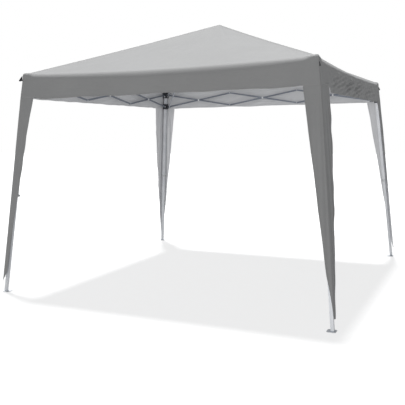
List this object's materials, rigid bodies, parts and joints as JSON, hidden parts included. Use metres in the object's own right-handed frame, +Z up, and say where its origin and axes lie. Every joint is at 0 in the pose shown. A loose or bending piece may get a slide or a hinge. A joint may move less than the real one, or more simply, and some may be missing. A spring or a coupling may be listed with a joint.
{
  "type": "pop-up gazebo",
  "caption": "Open folding gazebo: a slanted-leg steel frame with crossing truss bars, hip rafters and a centre hub under a peaked fabric canopy with a valance and leg covers.",
  "frame": {"origin": "on the ground, below the centre of the roof", "axes": "+Z up, +Y to the back, +X to the right as seen from the front; the four sides are square to X and Y"},
  "size_m": [3.05, 3.05, 2.49],
  "materials": {
    "leg_steel": "silver-grey powder coat, satin",
    "bar_steel": "grey powder coat, satin",
    "rafter_steel": "grey powder coat, satin",
    "plastic": "moulded, fine grain",
    "bright": "plated",
    "cloth": "coated plain weave, grey outside and silvery inside"
  },
  "bodies": {
    "bracket_front_left": {"bracket_front_left": "plastic"},
    "bracket_front_right": {"bracket_front_right": "plastic"},
    "bracket_back_right": {"bracket_back_right": "plastic"},
    "bracket_back_left": {"bracket_back_left": "plastic"},
    "hub": {"hub": "plastic", "canopy": "cloth"},
    "lower_rafter_front_left": {"lower_rafter_front_left": "rafter_steel"},
    "upper_rafter_front_left": {"upper_rafter_front_left": "rafter_steel"},
    "lower_rafter_front_right": {"lower_rafter_front_right": "rafter_steel"},
    "upper_rafter_front_right": {"upper_rafter_front_right": "rafter_steel"},
    "lower_rafter_back_right": {"lower_rafter_back_right": "rafter_steel"},
    "upper_rafter_back_right": {"upper_rafter_back_right": "rafter_steel"},
    "lower_rafter_back_left": {"lower_rafter_back_left": "rafter_steel"},
    "upper_rafter_back_left": {"upper_rafter_back_left": "rafter_steel"},
    "upper_leg_front_left": {"upper_leg_front_left": "leg_steel"},
    "slider_front_left": {"slider_front_left": "plastic"},
    "strut_front_left": {"strut_front_left": "rafter_steel"},
    "lower_leg_front_left": {"lower_leg_front_left": "leg_steel"},
    "release_pin_front_left": {"release_pin_front_left": "bright"},
    "upper_leg_front_right": {"upper_leg_front_right": "leg_steel"},
    "slider_front_right": {"slider_front_right": "plastic"},
    "strut_front_right": {"strut_front_right": "rafter_steel"},
    "lower_leg_front_right": {"lower_leg_front_right": "leg_steel"},
    "release_pin_front_right": {"release_pin_front_right": "bright"},
    "upper_leg_back_right": {"upper_leg_back_right": "leg_steel"},
    "slider_back_right": {"slider_back_right": "plastic"},
    "strut_back_right": {"strut_back_right": "rafter_steel"},
    "lower_leg_back_right": {"lower_leg_back_right": "leg_steel"},
    "release_pin_back_right": {"release_pin_back_right": "bright"},
    "upper_leg_back_left": {"upper_leg_back_left": "leg_steel"},
    "slider_back_left": {"slider_back_left": "plastic"},
    "strut_back_left": {"strut_back_left": "rafter_steel"},
    "lower_leg_back_left": {"lower_leg_back_left": "leg_steel"},
    "release_pin_back_left": {"release_pin_back_left": "bright"},
    "truss_front_fall_1": {"truss_front_fall_1": "bar_steel"},
    "truss_front_rise_1": {"truss_front_rise_1": "bar_steel"},
    "truss_front_fall_2": {"truss_front_fall_2": "bar_steel"},
    "truss_front_rise_2": {"truss_front_rise_2": "bar_steel"},
    "truss_front_fall_3": {"truss_front_fall_3": "bar_steel"},
    "truss_front_rise_3": {"truss_front_rise_3": "bar_steel"},
    "truss_right_fall_1": {"truss_right_fall_1": "bar_steel"},
    "truss_right_rise_1": {"truss_right_rise_1": "bar_steel"},
    "truss_right_fall_2": {"truss_right_fall_2": "bar_steel"},
    "truss_right_rise_2": {"truss_right_rise_2": "bar_steel"},
    "truss_right_fall_3": {"truss_right_fall_3": "bar_steel"},
    "truss_right_rise_3": {"truss_right_rise_3": "bar_steel"},
    "truss_back_fall_1": {"truss_back_fall_1": "bar_steel"},
    "truss_back_rise_1": {"truss_back_rise_1": "bar_steel"},
    "truss_back_fall_2": {"truss_back_fall_2": "bar_steel"},
    "truss_back_rise_2": {"truss_back_rise_2": "bar_steel"},
    "truss_back_fall_3": {"truss_back_fall_3": "bar_steel"},
    "truss_back_rise_3": {"truss_back_rise_3": "bar_steel"},
    "truss_left_fall_1": {"truss_left_fall_1": "bar_steel"},
    "truss_left_rise_1": {"truss_left_rise_1": "bar_steel"},
    "truss_left_fall_2": {"truss_left_fall_2": "bar_steel"},
    "truss_left_rise_2": {"truss_left_rise_2": "bar_steel"},
    "truss_left_fall_3": {"truss_left_fall_3": "bar_steel"},
    "truss_left_rise_3": {"truss_left_rise_3": "bar_steel"}
  },
  "joints": [
    {"name": "frame_fold", "type": "hinge", "parent": "bracket_back_left", "child": "lower_rafter_back_left", "pos_m": [-1.26757, 1.26757, 1.922], "axis": [0.7071, 0.7071, 0], "range_deg": [0, 103.81], "stiffness_Nm_per_rad": 160, "springref_deg": -114.59, "deforming": ["canopy"]},
    {"name": "knee_back_left", "type": "hinge", "parent": "lower_rafter_back_left", "child": "upper_rafter_back_left", "pos_m": [-0.65146, 0.65146, 2.17751], "axis": [-0.7071, -0.7071, 0], "range_deg": [0, 174.95]},
    {"name": "hub_back_left", "type": "hinge", "parent": "upper_rafter_back_left", "child": "hub", "pos_m": [-0.03536, 0.03536, 2.43301], "axis": [0.7071, 0.7071, 0], "range_deg": [0, 71.14]},
    {"name": "hub_front_left", "type": "hinge", "parent": "hub", "child": "upper_rafter_front_left", "pos_m": [-0.03536, -0.03536, 2.43301], "axis": [0.7071, -0.7071, 0], "range_deg": [0, 71.14]},
    {"name": "knee_front_left", "type": "hinge", "parent": "upper_rafter_front_left", "child": "lower_rafter_front_left", "pos_m": [-0.65146, -0.65146, 2.17751], "axis": [-0.7071, 0.7071, 0], "range_deg": [0, 174.95]},
    {"name": "corner_front_left", "type": "hinge", "parent": "lower_rafter_front_left", "child": "bracket_front_left", "pos_m": [-1.26757, -1.26757, 1.922], "axis": [0.7071, -0.7071, 0], "range_deg": [0, 103.83]},
    {"name": "hub_front_right", "type": "hinge", "parent": "hub", "child": "upper_rafter_front_right", "pos_m": [0.03536, -0.03536, 2.43301], "axis": [0.7071, 0.7071, 0], "range_deg": [0, 71.14]},
    {"name": "knee_front_right", "type": "hinge", "parent": "upper_rafter_front_right", "child": "lower_rafter_front_right", "pos_m": [0.65146, -0.65146, 2.17751], "axis": [-0.7071, -0.7071, 0], "range_deg": [0, 174.95]},
    {"name": "corner_front_right", "type": "hinge", "parent": "lower_rafter_front_right", "child": "bracket_front_right", "pos_m": [1.26757, -1.26757, 1.922], "axis": [0.7071, 0.7071, 0], "range_deg": [0, 103.83]},
    {"name": "hub_back_right", "type": "hinge", "parent": "hub", "child": "upper_rafter_back_right", "pos_m": [0.03536, 0.03536, 2.43301], "axis": [-0.7071, 0.7071, 0], "range_deg": [0, 71.14]},
    {"name": "knee_back_right", "type": "hinge", "parent": "upper_rafter_back_right", "child": "lower_rafter_back_right", "pos_m": [0.65146, 0.65146, 2.17751], "axis": [0.7071, -0.7071, 0], "range_deg": [0, 174.95]},
    {"name": "corner_back_right", "type": "hinge", "parent": "lower_rafter_back_right", "child": "bracket_back_right", "pos_m": [1.26757, 1.26757, 1.922], "axis": [-0.7071, 0.7071, 0], "range_deg": [0, 103.83]},
    {"name": "lean_front_left", "type": "hinge", "parent": "bracket_front_left", "child": "upper_leg_front_left", "pos_m": [-1.31, -1.31, 1.93], "axis": [0.7071, -0.7071, 0], "range_deg": [0, 6.54]},
    {"name": "slider_front_left", "type": "slide", "parent": "upper_leg_front_left", "child": "slider_front_left", "axis": [-0.0975, -0.0975, -0.9904], "range_m": [0, 0.71299]},
    {"name": "strut_front_left", "type": "hinge", "parent": "lower_rafter_front_left", "child": "strut_front_left", "pos_m": [-0.99776, -0.99776, 2.03389], "axis": [0.7071, -0.7071, 0], "range_deg": [0, 156.54]},
    {"name": "telescope_front_left", "type": "slide", "parent": "upper_leg_front_left", "child": "lower_leg_front_left", "axis": [0.0975, 0.0975, 0.9904], "range_m": [0, 0.8], "stiffness_N_per_m": 60, "springref_m": -1},
    {"name": "release_front_left", "type": "slide", "parent": "upper_leg_front_left", "child": "release_pin_front_left", "axis": [0.9952, -0.0048, -0.0975], "range_m": [0, 0.005]},
    {"name": "lean_front_right", "type": "hinge", "parent": "bracket_front_right", "child": "upper_leg_front_right", "pos_m": [1.31, -1.31, 1.93], "axis": [0.7071, 0.7071, 0], "range_deg": [0, 6.54]},
    {"name": "slider_front_right", "type": "slide", "parent": "upper_leg_front_right", "child": "slider_front_right", "axis": [0.0975, -0.0975, -0.9904], "range_m": [0, 0.71299]},
    {"name": "strut_front_right", "type": "hinge", "parent": "lower_rafter_front_right", "child": "strut_front_right", "pos_m": [0.99776, -0.99776, 2.03389], "axis": [0.7071, 0.7071, 0], "range_deg": [0, 156.54]},
    {"name": "telescope_front_right", "type": "slide", "parent": "upper_leg_front_right", "child": "lower_leg_front_right", "axis": [-0.0975, 0.0975, 0.9904], "range_m": [0, 0.8], "stiffness_N_per_m": 60, "springref_m": -1},
    {"name": "release_front_right", "type": "slide", "parent": "upper_leg_front_right", "child": "release_pin_front_right", "axis": [-0.9952, -0.0048, -0.0975], "range_m": [0, 0.005]},
    {"name": "lean_back_right", "type": "hinge", "parent": "bracket_back_right", "child": "upper_leg_back_right", "pos_m": [1.31, 1.31, 1.93], "axis": [-0.7071, 0.7071, 0], "range_deg": [0, 6.54]},
    {"name": "slider_back_right", "type": "slide", "parent": "upper_leg_back_right", "child": "slider_back_right", "axis": [0.0975, 0.0975, -0.9904], "range_m": [0, 0.71299]},
    {"name": "strut_back_right", "type": "hinge", "parent": "lower_rafter_back_right", "child": "strut_back_right", "pos_m": [0.99776, 0.99776, 2.03389], "axis": [-0.7071, 0.7071, 0], "range_deg": [0, 156.54]},
    {"name": "telescope_back_right", "type": "slide", "parent": "upper_leg_back_right", "child": "lower_leg_back_right", "axis": [-0.0975, -0.0975, 0.9904], "range_m": [0, 0.8], "stiffness_N_per_m": 60, "springref_m": -1},
    {"name": "release_back_right", "type": "slide", "parent": "upper_leg_back_right", "child": "release_pin_back_right", "axis": [-0.9952, 0.0048, -0.0975], "range_m": [0, 0.005]},
    {"name": "lean_back_left", "type": "hinge", "parent": "bracket_back_left", "child": "upper_leg_back_left", "pos_m": [-1.31, 1.31, 1.93], "axis": [-0.7071, -0.7071, 0], "range_deg": [0, 6.54]},
    {"name": "slider_back_left", "type": "slide", "parent": "upper_leg_back_left", "child": "slider_back_left", "axis": [-0.0975, 0.0975, -0.9904], "range_m": [0, 0.71299]},
    {"name": "strut_back_left", "type": "hinge", "parent": "lower_rafter_back_left", "child": "strut_back_left", "pos_m": [-0.99776, 0.99776, 2.03389], "axis": [-0.7071, -0.7071, 0], "range_deg": [0, 156.54]},
    {"name": "telescope_back_left", "type": "slide", "parent": "upper_leg_back_left", "child": "lower_leg_back_left", "axis": [0.0975, -0.0975, 0.9904], "range_m": [0, 0.8], "stiffness_N_per_m": 60, "springref_m": -1},
    {"name": "release_back_left", "type": "slide", "parent": "upper_leg_back_left", "child": "release_pin_back_left", "axis": [0.9952, 0.0048, -0.0975], "range_m": [0, 0.005]},
    {"name": "truss_front_fall_1_pivot", "type": "hinge", "parent": "bracket_front_left", "child": "truss_front_fall_1", "pos_m": [-1.265, -1.31, 1.92], "axis": [0, 1, 0], "range_deg": [0, 76.26]},
    {"name": "truss_front_rise_1_pivot", "type": "hinge", "parent": "truss_front_fall_1", "child": "truss_front_rise_1", "pos_m": [-0.84333, -1.31, 1.8475], "axis": [0, -1, 0], "range_deg": [0, 152.51]},
    {"name": "truss_front_rise_2_pivot", "type": "hinge", "parent": "truss_front_fall_1", "child": "truss_front_rise_2", "pos_m": [-0.42167, -1.31, 1.775], "axis": [0, -1, 0], "range_deg": [0, 152.51]},
    {"name": "truss_front_rise_3_pivot", "type": "hinge", "parent": "bracket_front_right", "child": "truss_front_rise_3", "pos_m": [1.265, -1.31, 1.92], "axis": [0, -1, 0], "range_deg": [0, 76.26]},
    {"name": "truss_front_fall_3_pivot", "type": "hinge", "parent": "truss_front_rise_3", "child": "truss_front_fall_3", "pos_m": [0.84333, -1.31, 1.8475], "axis": [0, 1, 0], "range_deg": [0, 152.51]},
    {"name": "truss_front_fall_2_pivot", "type": "hinge", "parent": "truss_front_rise_3", "child": "truss_front_fall_2", "pos_m": [0.42167, -1.31, 1.775], "axis": [0, 1, 0], "range_deg": [0, 152.51]},
    {"name": "truss_right_fall_1_pivot", "type": "hinge", "parent": "bracket_front_right", "child": "truss_right_fall_1", "pos_m": [1.31, -1.265, 1.92], "axis": [-1, 0, 0], "range_deg": [0, 76.26]},
    {"name": "truss_right_rise_1_pivot", "type": "hinge", "parent": "truss_right_fall_1", "child": "truss_right_rise_1", "pos_m": [1.31, -0.84333, 1.8475], "axis": [1, 0, 0], "range_deg": [0, 152.51]},
    {"name": "truss_right_rise_2_pivot", "type": "hinge", "parent": "truss_right_fall_1", "child": "truss_right_rise_2", "pos_m": [1.31, -0.42167, 1.775], "axis": [1, 0, 0], "range_deg": [0, 152.51]},
    {"name": "truss_right_rise_3_pivot", "type": "hinge", "parent": "bracket_back_right", "child": "truss_right_rise_3", "pos_m": [1.31, 1.265, 1.92], "axis": [1, 0, 0], "range_deg": [0, 76.26]},
    {"name": "truss_right_fall_3_pivot", "type": "hinge", "parent": "truss_right_rise_3", "child": "truss_right_fall_3", "pos_m": [1.31, 0.84333, 1.8475], "axis": [-1, 0, 0], "range_deg": [0, 152.51]},
    {"name": "truss_right_fall_2_pivot", "type": "hinge", "parent": "truss_right_rise_3", "child": "truss_right_fall_2", "pos_m": [1.31, 0.42167, 1.775], "axis": [-1, 0, 0], "range_deg": [0, 152.51]},
    {"name": "truss_back_fall_1_pivot", "type": "hinge", "parent": "bracket_back_right", "child": "truss_back_fall_1", "pos_m": [1.265, 1.31, 1.92], "axis": [0, -1, 0], "range_deg": [0, 76.26]},
    {"name": "truss_back_rise_1_pivot", "type": "hinge", "parent": "truss_back_fall_1", "child": "truss_back_rise_1", "pos_m": [0.84333, 1.31, 1.8475], "axis": [0, 1, 0], "range_deg": [0, 152.51]},
    {"name": "truss_back_rise_2_pivot", "type": "hinge", "parent": "truss_back_fall_1", "child": "truss_back_rise_2", "pos_m": [0.42167, 1.31, 1.775], "axis": [0, 1, 0], "range_deg": [0, 152.51]},
    {"name": "truss_back_rise_3_pivot", "type": "hinge", "parent": "bracket_back_left", "child": "truss_back_rise_3", "pos_m": [-1.265, 1.31, 1.92], "axis": [0, 1, 0], "range_deg": [0, 76.26]},
    {"name": "truss_back_fall_3_pivot", "type": "hinge", "parent": "truss_back_rise_3", "child": "truss_back_fall_3", "pos_m": [-0.84333, 1.31, 1.8475], "axis": [0, -1, 0], "range_deg": [0, 152.51]},
    {"name": "truss_back_fall_2_pivot", "type": "hinge", "parent": "truss_back_rise_3", "child": "truss_back_fall_2", "pos_m": [-0.42167, 1.31, 1.775], "axis": [0, -1, 0], "range_deg": [0, 152.51]},
    {"name": "truss_left_fall_1_pivot", "type": "hinge", "parent": "bracket_back_left", "child": "truss_left_fall_1", "pos_m": [-1.31, 1.265, 1.92], "axis": [1, 0, 0], "range_deg": [0, 76.26]},
    {"name": "truss_left_rise_1_pivot", "type": "hinge", "parent": "truss_left_fall_1", "child": "truss_left_rise_1", "pos_m": [-1.31, 0.84333, 1.8475], "axis": [-1, 0, 0], "range_deg": [0, 152.51]},
    {"name": "truss_left_rise_2_pivot", "type": "hinge", "parent": "truss_left_fall_1", "child": "truss_left_rise_2", "pos_m": [-1.31, 0.42167, 1.775], "axis": [-1, 0, 0], "range_deg": [0, 152.51]},
    {"name": "truss_left_rise_3_pivot", "type": "hinge", "parent": "bracket_front_left", "child": "truss_left_rise_3", "pos_m": [-1.31, -1.265, 1.92], "axis": [-1, 0, 0], "range_deg": [0, 76.26]},
    {"name": "truss_left_fall_3_pivot", "type": "hinge", "parent": "truss_left_rise_3", "child": "truss_left_fall_3", "pos_m": [-1.31, -0.84333, 1.8475], "axis": [1, 0, 0], "range_deg": [0, 152.51]},
    {"name": "truss_left_fall_2_pivot", "type": "hinge", "parent": "truss_left_rise_3", "child": "truss_left_fall_2", "pos_m": [-1.31, -0.42167, 1.775], "axis": [1, 0, 0], "range_deg": [0, 152.51]}
  ],
  "couplings": [
    {"joint": "knee_back_left", "follows": "frame_fold", "ratio": 1.6851},
    {"joint": "hub_back_left", "follows": "frame_fold", "ratio": 0.68513},
    {"joint": "hub_front_left", "follows": "frame_fold", "ratio": 0.68513},
    {"joint": "knee_front_left", "follows": "frame_fold", "ratio": 1.6851},
    {"joint": "corner_front_left", "follows": "frame_fold", "ratio": 1},
    {"joint": "hub_front_right", "follows": "frame_fold", "ratio": 0.68513},
    {"joint": "knee_front_right", "follows": "frame_fold", "ratio": 1.6851},
    {"joint": "corner_front_right", "follows": "frame_fold", "ratio": 1},
    {"joint": "hub_back_right", "follows": "frame_fold", "ratio": 0.68513},
    {"joint": "knee_back_right", "follows": "frame_fold", "ratio": 1.6851},
    {"joint": "corner_back_right", "follows": "frame_fold", "ratio": 1},
    {"joint": "lean_front_left", "follows": "frame_fold", "ratio": 0.062838},
    {"joint": "slider_front_left", "follows": "frame_fold", "m_per_rad": 0.39335},
    {"joint": "strut_front_left", "follows": "frame_fold", "ratio": 1.5077},
    {"joint": "lean_front_right", "follows": "frame_fold", "ratio": 0.062838},
    {"joint": "slider_front_right", "follows": "frame_fold", "m_per_rad": 0.39335},
    {"joint": "strut_front_right", "follows": "frame_fold", "ratio": 1.5077},
    {"joint": "lean_back_right", "follows": "frame_fold", "ratio": 0.062838},
    {"joint": "slider_back_right", "follows": "frame_fold", "m_per_rad": 0.39335},
    {"joint": "strut_back_right", "follows": "frame_fold", "ratio": 1.5077},
    {"joint": "lean_back_left", "follows": "frame_fold", "ratio": 0.062838},
    {"joint": "slider_back_left", "follows": "frame_fold", "m_per_rad": 0.39335},
    {"joint": "strut_back_left", "follows": "frame_fold", "ratio": 1.5077},
    {"joint": "truss_front_fall_1_pivot", "follows": "frame_fold", "ratio": 0.73446},
    {"joint": "truss_front_rise_1_pivot", "follows": "frame_fold", "ratio": 1.4689},
    {"joint": "truss_front_rise_2_pivot", "follows": "frame_fold", "ratio": 1.4689},
    {"joint": "truss_front_rise_3_pivot", "follows": "frame_fold", "ratio": 0.73446},
    {"joint": "truss_front_fall_3_pivot", "follows": "frame_fold", "ratio": 1.4689},
    {"joint": "truss_front_fall_2_pivot", "follows": "frame_fold", "ratio": 1.4689},
    {"joint": "truss_right_fall_1_pivot", "follows": "frame_fold", "ratio": 0.73446},
    {"joint": "truss_right_rise_1_pivot", "follows": "frame_fold", "ratio": 1.4689},
    {"joint": "truss_right_rise_2_pivot", "follows": "frame_fold", "ratio": 1.4689},
    {"joint": "truss_right_rise_3_pivot", "follows": "frame_fold", "ratio": 0.73446},
    {"joint": "truss_right_fall_3_pivot", "follows": "frame_fold", "ratio": 1.4689},
    {"joint": "truss_right_fall_2_pivot", "follows": "frame_fold", "ratio": 1.4689},
    {"joint": "truss_back_fall_1_pivot", "follows": "frame_fold", "ratio": 0.73446},
    {"joint": "truss_back_rise_1_pivot", "follows": "frame_fold", "ratio": 1.4689},
    {"joint": "truss_back_rise_2_pivot", "follows": "frame_fold", "ratio": 1.4689},
    {"joint": "truss_back_rise_3_pivot", "follows": "frame_fold", "ratio": 0.73446},
    {"joint": "truss_back_fall_3_pivot", "follows": "frame_fold", "ratio": 1.4689},
    {"joint": "truss_back_fall_2_pivot", "follows": "frame_fold", "ratio": 1.4689},
    {"joint": "truss_left_fall_1_pivot", "follows": "frame_fold", "ratio": 0.73446},
    {"joint": "truss_left_rise_1_pivot", "follows": "frame_fold", "ratio": 1.4689},
    {"joint": "truss_left_rise_2_pivot", "follows": "frame_fold", "ratio": 1.4689},
    {"joint": "truss_left_rise_3_pivot", "follows": "frame_fold", "ratio": 0.73446},
    {"joint": "truss_left_fall_3_pivot", "follows": "frame_fold", "ratio": 1.4689},
    {"joint": "truss_left_fall_2_pivot", "follows": "frame_fold", "ratio": 1.4689}
  ]
}
